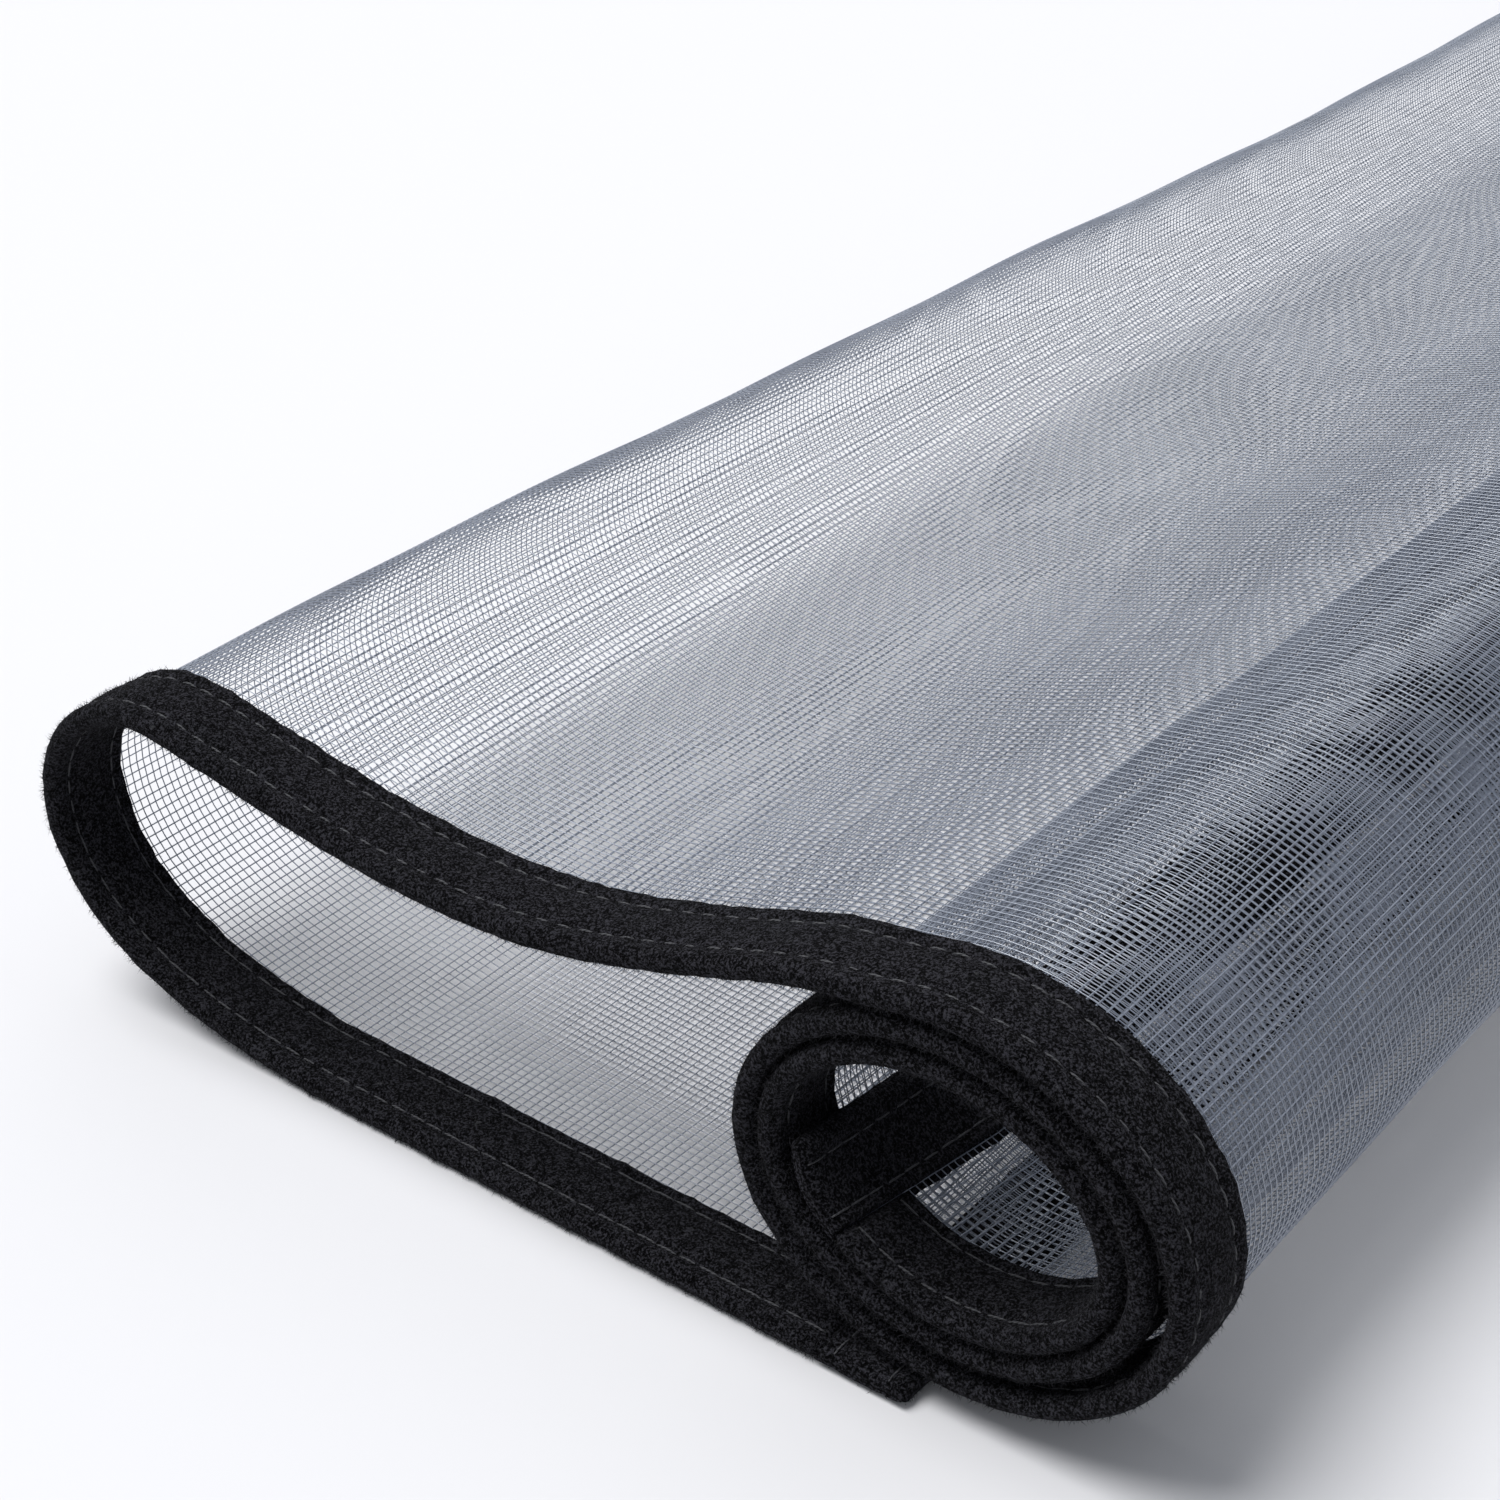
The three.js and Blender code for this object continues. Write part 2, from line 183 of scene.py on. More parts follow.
def place(s, h, v):
    """The point (s, h, v) of the flat sheet, bent: the outline's point at s plus h times its outward
    direction, carried to v along the axis. Away from the stiff front and back tapes the innermost
    turn is turned back about the roll's axis and grows, and the open loop settles."""
    s, h, v = np.broadcast_arrays(s, h, v)
    x, z, nx, nz = (np.interp(s, LINE_S, line) for line in (*LINE.T, *OUTWARD.T))
    unit = 1 / np.sqrt(nx * nx + nz * nz)            # brings the outward direction back to length 1
    from_edge = np.clip(np.minimum(v, PANEL - v) / OPENED_DEPTH, 0, 1)
    opened = smooth((s - SHEET) / OPENED_RUN + 1) * (1 - (1 - from_edge) ** 2)
    from_x, from_z = x + h * nx * unit - AXIS_X + INNER_LEAN, z + h * nz * unit - AXIS_Z
    turn, grown = np.radians(OPENED_ANGLE) * opened, 1 + OPENED_GROWTH * opened
    round_z = from_z * ROLL_WIDTH / ROLL_HEIGHT      # a flattened turn is turned as a round one
    x = AXIS_X - INNER_LEAN + grown * (from_x * np.cos(turn) - round_z * np.sin(turn))
    z = AXIS_Z + grown * (from_x * np.sin(turn) + round_z * np.cos(turn)) * ROLL_HEIGHT / ROLL_WIDTH
    slip = DRIFT * smooth(1 + (s - roll_start) / ROLL_WIDTH)
    rising = smooth((s - FLOOR_RUN) / (crest_start - FLOOR_RUN))
    falling = 1 - smooth((s - crest_start) / (valley_start - crest_start))
    slack = rising * falling * np.sin(np.pi * np.clip(v / PANEL, 0, 1)) ** 2
    points = np.stack([x + PULL * slack, v + slip, z * (1 - SQUASH * slack)], axis=-1)
    points[..., 2] = np.maximum(points[..., 2], 0.03)   # what lies on the floor lies flat on it
    return (points + ORIGIN) * MM


print("strip's far corner at", place(0.0, 0.0, PANEL).round(4))

# %% [markdown]
# ## Putting arrays into a mesh
# A mesh is three lists: points, corners and faces. Numpy holds them as whole arrays, and
# foreach_set copies them in one go, so a million triangles take seconds. Each piece also gets two
# UV maps: "Lay" counts real millimetres along and across the piece for its pattern, and "OFBake"
# gives every strand its own row, so that no two strands share a spot on it.


# %% Mesh helpers
def new_piece(name, points, faces, maps, material):
    """One object from points (n, 3), a list of face arrays (m, corners) and UV maps per corner."""
    corners = np.concatenate([f.ravel() for f in faces]).astype(np.int32)
    sizes = np.concatenate([np.full(len(f), f.shape[1]) for f in faces])
    mesh = bpy.data.meshes.new(name)
    mesh.vertices.add(len(points))
    mesh.vertices.foreach_set("co", points.astype(np.float32).ravel())
    mesh.loops.add(len(corners))
    mesh.loops.foreach_set("vertex_index", corners)
    mesh.polygons.add(len(sizes))
    mesh.polygons.foreach_set("loop_start", (np.cumsum(sizes) - sizes).astype(np.int32))
    for map_name, uv in maps.items():
        layer = mesh.uv_layers.new(name=map_name)
        layer.data.foreach_set("uv", uv.astype(np.float32).ravel())
    mesh.update(calc_edges=True)
    mesh.polygons.foreach_set("use_smooth", np.ones(len(sizes), bool))
    mesh.materials.append(material)
    piece = bpy.data.objects.new(name, mesh)
    bpy.context.scene.collection.objects.link(piece)
    print(f"{name}: {int((sizes - 2).sum())} triangles")
    return piece


def strand_faces(strands, rings, sides):
    """Quads that join ring to ring round every strand, for points numbered strand, ring, side."""
    strand, ring, side = np.meshgrid(
        np.arange(strands), np.arange(rings - 1), np.arange(sides), indexing="ij")
    here = (strand * rings + ring) * sides
    after = (side + 1) % sides
    quads = np.stack([here + side, here + after, here + sides + after, here + sides + side], -1)
    return quads.reshape(-1, 4)


def strand_maps(along, sides, first_row, rows):
    """UV per corner for along (strands, rings) in mm: Lay is (mm along, turns round), and OFBake
    gives each strand one row of the square, with the strand's length stretched across it."""
    strands, rings = along.shape
    near, far = along[:, :-1, None], along[:, 1:, None]
    u = np.stack(np.broadcast_arrays(near, near, far, far), -1)
    u = np.broadcast_to(u, (strands, rings - 1, sides, 4))
    turn = np.arange(sides)[:, None] + np.array([0, 1, 1, 0])
    turn = np.broadcast_to(turn / sides, u.shape)
    lay = np.stack([u, turn], -1).reshape(-1, 4, 2)
    start, end = along[:, :1, None, None], along[:, -1:, None, None]
    row = (first_row + np.arange(strands))[:, None, None, None]
    across = (u - start) / (end - start) * 0.998 + 0.001
    bake = np.stack([across, (row + 0.12 + 0.76 * turn) / rows], -1).reshape(-1, 4, 2)
    return lay, bake


def turned_over(faces, *maps):
    """The same faces and UV maps (faces, corners, 2) with each face's corners in the other order."""
    return faces[:, ::-1], *(uv[:, ::-1] for uv in maps)


# %% [markdown]
# ## Nodes from short lines
# A material is a small graph of nodes. The helpers below add one node each and link what they are
# given, so that a material reads like a formula instead of a list of boxes and wires.


# %% Node helpers
def add_node(tree, kind, inputs=None, **settings):
    """A node of that kind, with its settings, and its inputs linked or set to plain values."""
    made = tree.nodes.new(kind)
    for key, value in settings.items():
        setattr(made, key, value)
    for socket, value in (inputs or {}).items():
        if isinstance(value, bpy.types.NodeSocket):
            tree.links.new(value, made.inputs[socket])
        else:
            made.inputs[socket].default_value = value
    return made


def math_node(tree, operation, a, b=0.0):
    """The result of one sum on two values or sockets."""
    return add_node(tree, "ShaderNodeMath", {0: a, 1: b}, operation=operation).outputs[0]


def mix_colours(tree, share, a, b):
    """Colour a where the share is 0, b where it is 1. Sockets 6 and 7 are the two colours."""
    return add_node(tree, "ShaderNodeMix", {0: share, 6: a, 7: b}, data_type="RGBA").outputs[2]


def remap(tree, value, low_in, high_in, low_out, high_out):
    """The value moved from one range to another, and kept inside it."""
    inputs = {0: value, 1: low_in, 2: high_in, 3: low_out, 4: high_out}
    return add_node(tree, "ShaderNodeMapRange", inputs, clamp=True).outputs[0]


def noise_node(tree, scale, detail, roughness):
    """Noise on the object's own coordinates, in metres: scale is its count of specks along one."""
    place_on = add_node(tree, "ShaderNodeTexCoord").outputs["Object"]
    inputs = {"Vector": place_on, "Scale": scale, "Detail": detail, "Roughness": roughness}
    return add_node(tree, "ShaderNodeTexNoise", inputs).outputs[0]


def effect(name, inputs, outputs):
    """An empty node group with those named number inputs and outputs, and its two end nodes."""
    group = bpy.data.node_groups.new(name, "ShaderNodeTree")
    for socket, value in inputs.items():
        made = group.interface.new_socket(socket, in_out="INPUT", socket_type="NodeSocketFloat")
        made.default_value = value
    for socket in outputs:
        group.interface.new_socket(socket, in_out="OUTPUT", socket_type="NodeSocketFloat")
    return group, group.nodes.new("NodeGroupInput").outputs, group.nodes.new("NodeGroupOutput")


# %% [markdown]
# ## Effects shared by the finishes
# Several materials need the same two effects, so each effect is a node group, built once. The
# mottle breaks an even colour into soft specks of a chosen size, as fibres and coating do. The
# lint puts a few pale specks on what faces up. A picture of cloth would do this in one step, but a
# pattern made from noise has no seams and can be read at any distance.


# %% Mottle and lint
def make_mottle():
    """Two sizes of noise, added: Mask is their mix pushed to its ends by Contrast, and Height is
    the finer one, for a bump. Specks per metre is the count of specks along one metre."""
    asked = {"Specks per metre": 1500.0, "Contrast": 2.0}
    group, given, end = effect("Mottle", asked, ("Mask", "Height"))
    fine = noise_node(group, given["Specks per metre"], 3.0, 0.65)
    coarse_scale = math_node(group, "MULTIPLY", given["Specks per metre"], 0.31)
    coarse = noise_node(group, coarse_scale, 2.0, 0.5)
    both = math_node(group, "ADD", math_node(group, "MULTIPLY", fine, 0.8),
                     math_node(group, "MULTIPLY", coarse, 0.2))
    pushed = math_node(group, "MULTIPLY", math_node(group, "SUBTRACT", both, 0.5), given["Contrast"])
    mask = add_node(group, "ShaderNodeMath", {0: pushed, 1: 0.5}, operation="ADD", use_clamp=True)
    group.links.new(mask.outputs[0], end.inputs["Mask"])
    group.links.new(fine, end.inputs["Height"])
    return group


def make_lint():
    """Sparse specks: noise above Threshold, stronger where the surface faces up."""
    group, given, end = effect("Lint", {"Specks per metre": 400.0, "Threshold": 0.7}, ("Mask",))
    noise = noise_node(group, given["Specks per metre"], 1.0, 0.5)
    above = math_node(group, "SUBTRACT", noise, given["Threshold"])
    sharp = {0: above, 1: 12.0}
    speck = add_node(group, "ShaderNodeMath", sharp, operation="MULTIPLY", use_clamp=True)
    normal = add_node(group, "ShaderNodeNewGeometry").outputs["Normal"]
    facing = add_node(group, "ShaderNodeSeparateXYZ", {0: normal})
    upwards = remap(group, facing.outputs[2], -0.2, 0.8, 0.15, 1.0)
    group.links.new(math_node(group, "MULTIPLY", speck.outputs[0], upwards), end.inputs["Mask"])
    return group


MOTTLE, LINT = make_mottle(), make_lint()
print("effects:", MOTTLE.name, "and", LINT.name)

# %% [markdown]
# ## Four finishes
# The mesh is yarn dipped in a soft plastic, so it is blue-grey with a strong gloss. The tape is
# a black fleece: hardly any gloss, a deep bump, and a faint sheen where its fibres catch the light.
# The pile that stands up from it is the same fibre seen one by one. The sewing thread is a dark
# filament whose plies twist round each other, drawn from its own Lay map. What a finish never
# changes is a plain value on its shader, and only what varies is a node.


# %% Helpers for the finishes
def new_finish(name, **constants):
    """A material and its Principled shader. The unchanging values sit on the shader's sockets."""
    material = bpy.data.materials.new(name)
    material.use_nodes = True
    shader = material.node_tree.nodes["Principled BSDF"]
    for socket, value in constants.items():
        shader.inputs[socket.replace("_", " ")].default_value = value
    return material.node_tree, shader, material


def use_effect(tree, group, inputs):
    """One copy of an effect in a material, with this material's own numbers."""
    return add_node(tree, "ShaderNodeGroup", inputs, node_tree=group)


def with_lint(tree, colour, amount, specks):
    """The colour with pale lint over it, up to that amount."""
    lint = use_effect(tree, LINT, {"Specks per metre": specks})
    share = math_node(tree, "MULTIPLY", lint.outputs["Mask"], amount)
    return mix_colours(tree, share, colour, (0.42, 0.43, 0.45, 1))


def bump(tree, shader, height, distance, strength):
    """Tilts the shader's normal by that height, as if it stood out by that many metres."""
    inputs = {"Height": height, "Distance": distance, "Strength": strength}
    tree.links.new(add_node(tree, "ShaderNodeBump", inputs).outputs[0], shader.inputs["Normal"])


# %% [markdown]
# The yarn and the fleece show the same two effects in opposite ways. On the yarn the mottle is
# faint and only shifts its gloss. On the fleece it is pushed almost to black and grey, and its
# black is painted shade between the fibres of a tuft.


# %% Yarn and fleece
def coated_yarn():
    """Blue-grey plastic, lighter and glossier in places along each thread."""
    tree, shader, material = new_finish(
        "coated_yarn", Specular_IOR_Level=1.0, Specular_Tint=(0.78, 0.88, 1, 1),
        Coat_Weight=1.0, Coat_Roughness=0.25, Coat_IOR=2.1)
    mottle = use_effect(tree, MOTTLE, {"Specks per metre": 260.0, "Contrast": 2.4})
    colour = mix_colours(
        tree, mottle.outputs["Mask"], (0.115, 0.136, 0.19, 1), (0.2, 0.225, 0.285, 1))
    tree.links.new(with_lint(tree, colour, 0.3, 300.0), shader.inputs["Base Color"])
    tree.links.new(remap(tree, mottle.outputs["Mask"], 0, 1, 0.3, 0.45), shader.inputs["Roughness"])
    bump(tree, shader, mottle.outputs["Height"], 0.03 * MM, 0.3)
    return material


def black_fleece():
    """Near black, in specks of under half a millimetre, with painted shade making it darkest between the
    fibres, and rough all over.
    """
    tree, shader, material = new_finish(
        "black_fleece", Specular_IOR_Level=0.04, Sheen_Weight=0.01, Sheen_Roughness=0.5)
    mottle = use_effect(tree, MOTTLE, {"Specks per metre": 2600.0, "Contrast": 7.0})
    # Where this share is low the fleece is painted near black: painted shade between the fibres.
    fibre_vs_painted_shade = math_node(tree, "POWER", mottle.outputs["Mask"], 2.2)
    colour = mix_colours(tree, fibre_vs_painted_shade, (0.0003, 0.0003, 0.0005, 1), (0.038, 0.0375, 0.045, 1))
    tree.links.new(with_lint(tree, colour, 0.08, 900.0), shader.inputs["Base Color"])
    tree.links.new(remap(tree, mottle.outputs["Mask"], 0, 1, 0.98, 0.86), shader.inputs["Roughness"])
    bump(tree, shader, mottle.outputs["Height"], 0.8 * MM, 1.0)
    return material


# %% [markdown]
# A fibre and a thread are too slim for a pattern in space. Both read their own Lay map instead: how
# far along the piece a point is, and how far round it.


# %% Fibre and thread
def fleece_pile():
    """One fibre: black at its root as painted shade among the other fibres, and grey at its tip as a
    painted highlight, mixed by its Lay map's first number.
    """
    tree, shader, material = new_finish(
        "fleece_pile", Specular_IOR_Level=0.12, Sheen_Weight=0.02, Sheen_Roughness=0.4)
    lay = add_node(tree, "ShaderNodeUVMap", uv_map="Lay").outputs[0]
    split = add_node(tree, "ShaderNodeSeparateXYZ", {0: lay}).outputs
    mottle = use_effect(tree, MOTTLE, {"Specks per metre": 700.0, "Contrast": 2.5})
    # The grey tip is a painted highlight, and the black root is painted shade among the other fibres.
    tip = mix_colours(tree, mottle.outputs["Mask"], (0.006, 0.006, 0.0075, 1), (0.085, 0.085, 0.096, 1))
    tree.links.new(mix_colours(tree, split[0], (0.004, 0.004, 0.005, 1), tip), shader.inputs["Base Color"])
    tree.links.new(remap(tree, mottle.outputs["Mask"], 0, 1, 0.75, 0.6), shader.inputs["Roughness"])
    return material


def sewing_thread():
    """Plies that wind round the thread: their height is a sine whose angle is the twist times the
    distance along, plus the number of plies times the turn round. The same sine paints shade into
    the colour: painted shade in the grooves between the plies, lighter on their crests."""
    tree, shader, material = new_finish(
        "sewing_thread", Specular_IOR_Level=0.35, Sheen_Weight=0.03, Sheen_Roughness=0.5)
    lay = add_node(tree, "ShaderNodeUVMap", uv_map="Lay").outputs[0]
    split = add_node(tree, "ShaderNodeSeparateXYZ", {0: lay}).outputs
    twists_per_mm, plies = 1.1, 3
    twist = math_node(tree, "MULTIPLY", split[0], twists_per_mm * math.tau)
    around = math_node(tree, "MULTIPLY", split[1], plies * math.tau)
    wound = math_node(tree, "ADD", twist, around)
    ply_height_and_shade = remap(tree, math_node(tree, "SINE", wound), -1, 1, 0, 1)
    mottle = use_effect(tree, MOTTLE, {"Specks per metre": 2600.0, "Contrast": 2.0})
    # Painted shade: the colour is dark in the grooves between the plies and lighter on their crests.
    colour = mix_colours(tree, ply_height_and_shade, (0.02, 0.02, 0.023, 1), (0.085, 0.086, 0.094, 1))
    colour = mix_colours(tree, mottle.outputs["Mask"], colour, (0.05, 0.051, 0.056, 1))
    tree.links.new(with_lint(tree, colour, 0.1, 900.0), shader.inputs["Base Color"])
    tree.links.new(remap(tree, mottle.outputs["Mask"], 0, 1, 0.7, 0.5), shader.inputs["Roughness"])
    bump(tree, shader, ply_height_and_shade, 0.12 * MM, 0.7)
    return material


YARN, FLEECE, PILE, THREAD = coated_yarn(), black_fleece(), fleece_pile(), sewing_thread()
print("finishes:", [m.name for m in (YARN, FLEECE, PILE, THREAD)])

# %% [markdown]
# ## The mesh
# The real sheet is two families of coated yarn, about 1.4 by 1.6 mm apart. An image of holes on
# a flat sheet would be light work, but it falls apart close up and has no thickness when it is
# seen edge on. Here every yarn is a slim four-sided tube, and smooth shading makes it round. The
# cloth isn't perfect: threads wander a little, and the sheet ripples between its stiff tapes. Slow
# waves give both, and the tapes hold them to nothing at the edges.

# %% How the cloth wanders
YARN_RADIUS = 0.12
ALONG_STEP, ACROSS_STEP = 1.41, 1.5875           # yarn spacing along the axis, and along the outline
MESH_INSET = LEAF + 0.3                          # the mesh stops inside the fold
HELD_RUN = 50.0                                  # the tapes' hold fades over this distance
FLOOR_GAP = 0.35                                 # from the floor to the middle of the mesh on it
LIFT_RUN = 30.0                                  # the strip leaves the floor over this distance
SINK_AT_END, SINK_AT_SIDE = 12.0, 25.0           # and comes down to it from the tapes over these
CROSSING = 0.07                                  # the two families lie this far off the middle
ripple_phase = rng.uniform(0, math.tau, 8)


def held(s, v):
    """0 at the tapes and 1 in the open cloth: a smooth rise from all four edges, multiplied."""
    along = smooth((v - TAPE) / HELD_RUN) * smooth((PANEL - TAPE - v) / HELD_RUN)
    return along * smooth((s - TAPE) / HELD_RUN) * smooth((SHEET - TAPE - s) / HELD_RUN)


def drape(s, h, v):
    """The flat cloth's point with its faults: two sine waves shift it in each direction, each with
    its reach in mm in front and its length in mm a radian inside, and the strip on the floor
    sinks until it touches the floor."""
    free = held(s, v)
    p = ripple_phase
    ds = 0.6 * np.sin(v / 47 + p[0] + s / 83) + 0.2 * np.sin(v / 21 - s / 61 + p[1])
    dv = 0.6 * np.sin(s / 39 + p[2] - v / 95) + 0.2 * np.sin(s / 17 + v / 58 + p[3])
    dh = 0.35 * np.sin(v / 33 + s / 52 + p[4]) + 0.22 * np.sin(v / 12.5 - s / 31 + p[5])
    sink = (HALF - FLOOR_GAP) * (1 - smooth((s - FLOOR_RUN) / LIFT_RUN + 0.5))
    sink = sink * smooth((s - TAPE) / SINK_AT_END)
    sink = sink * smooth((v - TAPE) / SINK_AT_SIDE) * smooth((PANEL - TAPE - v) / SINK_AT_SIDE)
    on_floor = s < FLOOR_RUN
    dh = np.where(on_floor, sink, 0.0) + dh * np.where(on_floor, 0.0, free)
    return s + ds * free, h + dh, v + dv * free


def yarn_rings(s, h, v, wide_s, wide_v):
    """Four corners round each point of a yarn: up, one side, down and the other side."""
    ring_h = YARN_RADIUS * np.array([1, 0, -1, 0])
    ring_side = YARN_RADIUS * np.array([0, 1, 0, -1])
    s, h, v = drape(s, h, v)
    across_s, across_v = ring_side * wide_s, ring_side * wide_v
    return place(s[..., None] + across_s, h[..., None] + ring_h, v[..., None] + across_v)


# %% [markdown]
# A long yarn needs many short steps in a tight turn and few on the flat. The length of a step
# whose middle strays by a set error from a curve is the square root of eight times the error over
# the curvature, so equal parts of the running sum of its inverse put the steps where they matter.

# %% Where the yarns and their steps lie
FAULT = 0.15                                     # how far a straight step may stray from the bend
LONGEST_STEP = 22.0                              # where the sheet is flat
CLEAR_OF_END = 4.0                               # no step ends nearer than this to a yarn's own end
FIRST_RUN, FIRST_CROSS = 9.0, 8.5                # the first yarn lies this far in, inside the fold
YARN_STRAY = 0.035                               # a yarn's stray from its place, as a share
steps_needed = np.concatenate([[0], np.cumsum(
    (np.sqrt(BEND[1:] / (8 * FAULT)) + 1 / LONGEST_STEP) * np.diff(LINE_S))])
step_count = int(steps_needed[-1])
YARN_S = np.interp(np.linspace(0, steps_needed[-1], step_count), steps_needed, LINE_S)
YARN_S = YARN_S[(YARN_S > CLEAR_OF_END) & (YARN_S < SHEET - CLEAR_OF_END)]
YARN_S = np.concatenate([[MESH_INSET], YARN_S, [SHEET - MESH_INSET]])
run_v = np.arange(FIRST_RUN, PANEL - FIRST_RUN, ALONG_STEP)
run_v = run_v + rng.normal(0, YARN_STRAY, len(run_v)) * ALONG_STEP
cross_s = np.arange(FIRST_CROSS, SHEET - FIRST_CROSS, ACROSS_STEP)
cross_s = cross_s + rng.normal(0, YARN_STRAY, len(cross_s)) * ACROSS_STEP
print(len(run_v), "yarns round the bends and", len(cross_s), "yarns along the axis")

# %% [markdown]
# One piece of all the yarns would be too heavy to hand on, so the mesh is cut in five bands across
# the axis, which meet end to end. In each band the yarns round the bends come first, and then a
# stretch of every yarn that runs along the axis.

# %% Yarns
BANDS = 5
CROSS_RINGS = 7                                  # points on each band's stretch of a cross yarn
band_edges = np.linspace(MESH_INSET, PANEL - MESH_INSET, BANDS + 1)
mesh_bands = []
for band in range(BANDS):
    start, end = band_edges[band], band_edges[band + 1]
    lengthwise = run_v[(run_v >= start) & (run_v < end)]
    s, v = np.meshgrid(YARN_S, lengthwise)
    run_points = yarn_rings(s, np.full(s.shape, CROSSING), v, 0, 1)
    v_cross, s_cross = np.meshgrid(np.linspace(start, end, CROSS_RINGS), cross_s)
    cross_points = yarn_rings(s_cross, np.full(s_cross.shape, -CROSSING), v_cross, 1, 0)
    rows = len(lengthwise) + len(cross_s)
    run_maps = strand_maps(s, 4, 0, rows)
    cross_maps = strand_maps(v_cross, 4, len(lengthwise), rows)
    points = np.concatenate([run_points.reshape(-1, 3), cross_points.reshape(-1, 3)])
    run_faces, *run_maps = turned_over(strand_faces(*run_points.shape[:3]), *run_maps)
    cross_faces = strand_faces(*cross_points.shape[:3]) + run_points[..., 0].size
    lay, bake = (np.concatenate([a, b]) for a, b in zip(run_maps, cross_maps))
    maps = {"Lay": lay, "OFBake": bake}
    piece = new_piece(f"mesh_band_{band + 1}", points, [run_faces, cross_faces], maps, YARN)
    mesh_bands.append(piece)

# %% [markdown]
# ## The folded tape
# Each edge is bound with one strip of fleece, folded round the mesh's edge and sewn through. Its
# section is a U. A Solidify modifier on a folded sheet would give it even walls, but a real leaf
# is pinched by its two rows of stitches, swells between them and thins at its cut edge. So the
# section is a formula, and it is carried along the edge with a small unevenness of its own.

# %% The tape's contour
STITCH_DIP, DIP_WIDTH = 0.42, 0.75               # how deep a row is pressed in, and how wide
SWELL, TIP = 0.16, 0.9                           # rise between the rows, and length of a round tip
WAVES = (23.0, 13.0, 9.1, 6.3, 4.4, 3.1)         # lengths of the tape's unevenness
bumps = rng.uniform(0, math.tau, (len(WAVES), 2))


def uneven(a, along):
    """A soft unevenness of about 1: sines of 3 to 23 mm along the tape and across it."""
    total = np.zeros(np.broadcast_shapes(a.shape, along.shape))
    for (first, second), wave in zip(bumps, WAVES):
        total += np.sin(math.tau * along / wave + first + a * 2.3 / wave * np.sin(second)) * 0.4
    return total


def contour(a, radius):
    """A line round the U, a mm from the outer leaf's tip: straight to the fold, half a circle of
    that radius, and straight to the inner leaf's tip. Returns the distance from the folded edge
    and the height."""
    leaf = TAPE - HALF
    turn = np.clip((a - leaf) / HALF, 0, np.pi)
    beyond = np.clip(a - leaf - np.pi * HALF, 0, None)
    return HALF - radius * np.sin(turn) + np.clip(leaf - a, 0, None) + beyond, radius * np.cos(turn)


# %% [markdown]
# The contour has even walls. What makes it a sewn tape comes on top: two dips, a swelling between
# them, a rounded tip on each leaf and a little unevenness, which alone reaches the fold's own round.


# %% The tape's face
def tape_face(a, along, outside):
    """The tape's face in the flat, outside or inside: the contour, pressed in at each stitch row by
    a bell curve, swollen between the rows by half a sine, and drawn to the leaf's middle at its
    tip by a quarter circle."""
    w, h = contour(a, HALF if outside else SLOT)
    is_outer = a < TAPE - HALF + np.pi * HALF / 2
    tip = np.where(is_outer, TAPE, TAPE - LEAF_STEP)
    towards_tip = np.clip((w - (tip - TIP)) / TIP, 0, 0.985)
    thin = np.sqrt(1 - towards_tip**2)
    middle = (HALF + SLOT) / 2
    flat_h = middle + (np.abs(h) - middle) * thin
    straight = smooth((w - HALF * 0.4) / HALF)
    if outside:
        dip = sum(STITCH_DIP * np.exp(-(((w - row) / DIP_WIDTH) ** 2)) for row in ROWS.values())
        between = np.clip((w - ROWS["fold"]) / (ROWS["mesh"] - ROWS["fold"]), 0, 1)
        soft = 0.09 * uneven(a, along)
        flat_h = flat_h + (SWELL * np.sin(np.pi * between) - dip + soft) * straight
        w = w + 0.1 * uneven(a + 40, along) * (1 - straight)
        w = w + 0.16 * uneven(0 * a + 90, along) * towards_tip
    h = np.where(straight > 0, np.sign(h) * (np.abs(h) * (1 - straight) + flat_h * straight), h)
    return w, h


CONTOUR_END = TAPE - HALF + np.pi * HALF + TAPE - LEAF_STEP - HALF
print(f"the tape's face is {CONTOUR_END:.1f} mm round the fold")

# %% [markdown]
# The four tapes differ only in which way they run. The front and back tapes follow the outline,
# so their section lies across it. The two end tapes run along the roll's axis, so their section
# lies along the outline and bends with the sheet. One function turns a tape's own two directions
# into the flat sheet's s and v, and the pile and the stitches use it again.

# %% The four edges
RING_STEP, SIDE_STEP = 1.85, 0.85                # spacing of a tape's points along it and round it
END_STEPS = np.array([0, 0.1, 0.35, 0.75, 1.3])  # closer together where an end is pressed flat
PRESSED_RUN = 2.2                                # an end is pressed flat over this length
PRESSED_IN, PRESSED_OUT = 0.93, 0.62             # by these shares of its inside and outside height
FUZZ = 0.045                                     # how far a point strays from the smooth face
EDGES = {
    "front": {"across": False, "start": 0.0, "sign": 1, "run": (BUTT, SHEET - BUTT)},
    "back": {"across": False, "start": PANEL, "sign": -1, "run": (BUTT, SHEET - BUTT)},
    "outer_end": {"across": True, "start": 0.0, "sign": 1, "run": (0.0, PANEL)},
    "inner_end": {"across": True, "start": SHEET, "sign": -1, "run": (0.0, PANEL)},
}


def on_edge(edge, along, w, h):
    """A point of an edge's tape: w from the folded edge, along it, at height h."""
    inwards = edge["start"] + edge["sign"] * w
    return place(inwards, h, along) if edge["across"] else place(along, h, inwards)


def round_and_along(edge):
    """Distances round the U, closer at its tips, and along the tape, closer at its ends."""
    tip = np.linspace(0, TIP, 5) ** 1.5 / TIP**0.5
    between = np.arange(1.3, CONTOUR_END - 1.2, SIDE_STEP)
    start, end = edge["run"]
    along = np.linspace(start, end, int((end - start) / RING_STEP))
    along = along[(along > start + 2) & (along < end - 2)]
    return (np.concatenate([tip, between, CONTOUR_END - tip[::-1]]),
            np.concatenate([start + END_STEPS, along, end - END_STEPS[::-1]])[:, None])


